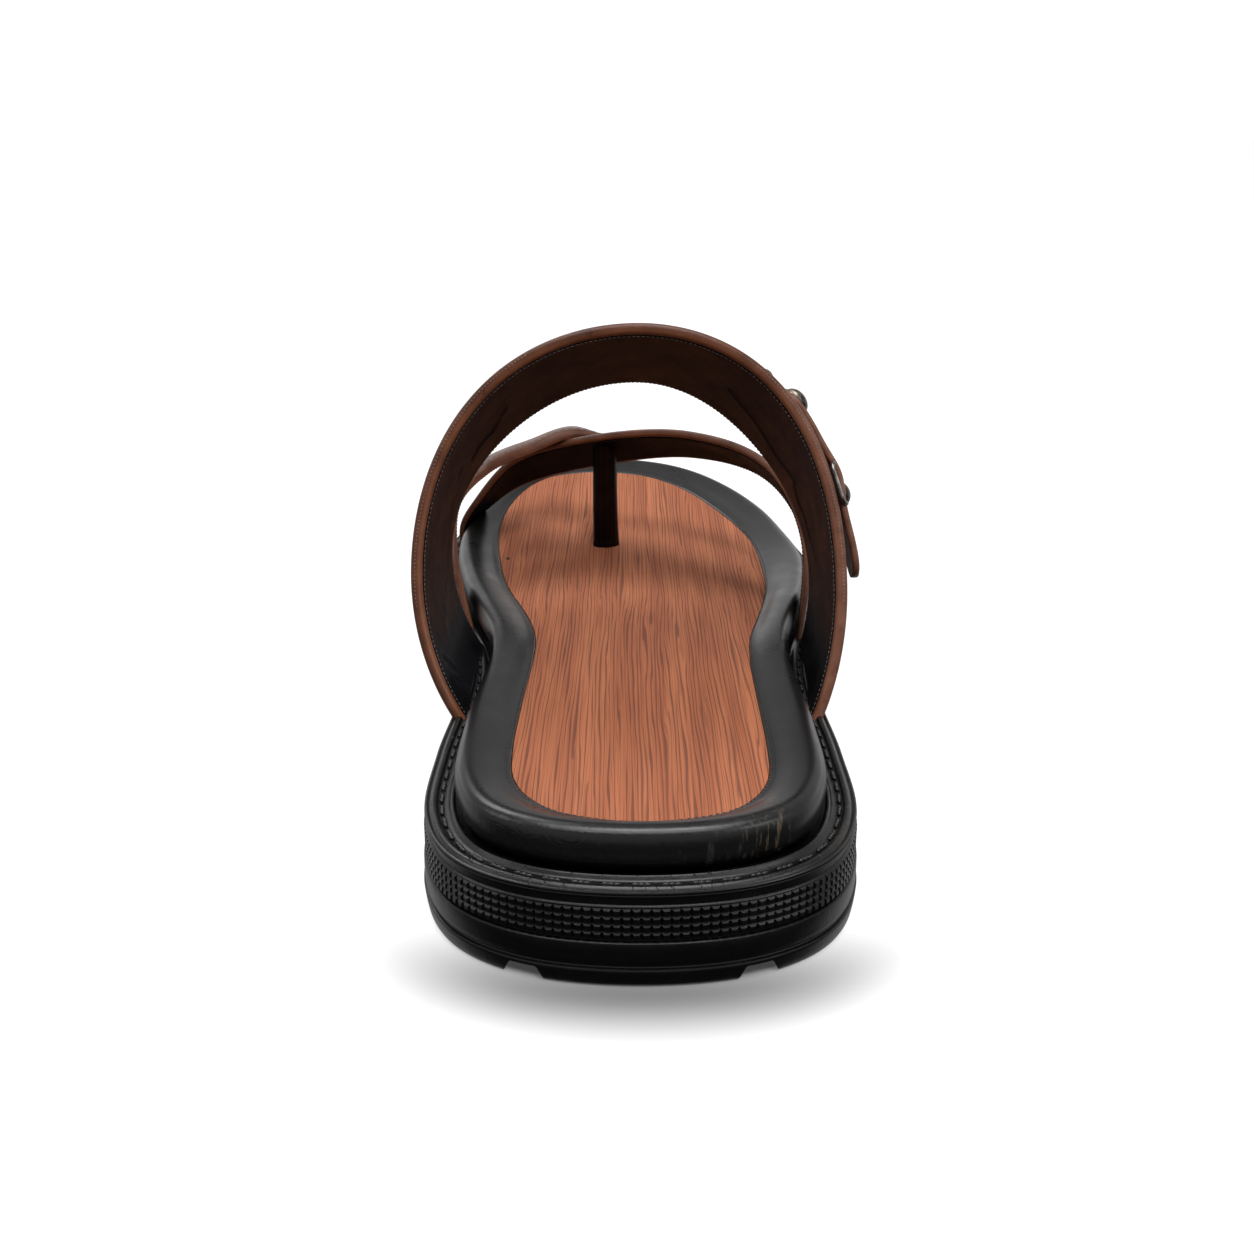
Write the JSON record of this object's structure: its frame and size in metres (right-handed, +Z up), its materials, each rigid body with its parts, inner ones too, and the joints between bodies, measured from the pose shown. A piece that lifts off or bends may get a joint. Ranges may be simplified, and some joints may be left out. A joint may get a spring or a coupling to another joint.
{
  "type": "cross-strap sandal",
  "caption": "Open right-foot sandal: wide instep strap with a side buckle, crossed toe straps, toe post, wrapped footbed and thick lugged outsole.",
  "frame": {"origin": "on the floor under the middle of the shoe's length and width", "axes": "+Y from heel to toe, +Z up, +X to the outer side of the foot"},
  "size_m": [0.1218, 0.2996, 0.1078],
  "materials": {
    "rubber": "moulded, semi-matt",
    "rim_leather": "smooth, semi-gloss",
    "wood_sock": "wood-grain pattern, satin",
    "strap_leather": "polished, semi-gloss",
    "dark_metal": "dark antique plating"
  },
  "bodies": {
    "root": {"outsole": "rubber", "footbed": "rim_leather", "insole": "wood_sock", "instep_strap": "strap_leather", "cross_straps": "strap_leather", "toe_post": "strap_leather", "buckle_strap": "strap_leather", "buckle_frame": "dark_metal", "stud_1": "dark_metal", "stud_2": "dark_metal", "stud_3": "dark_metal"}
  },
  "joints": []
}
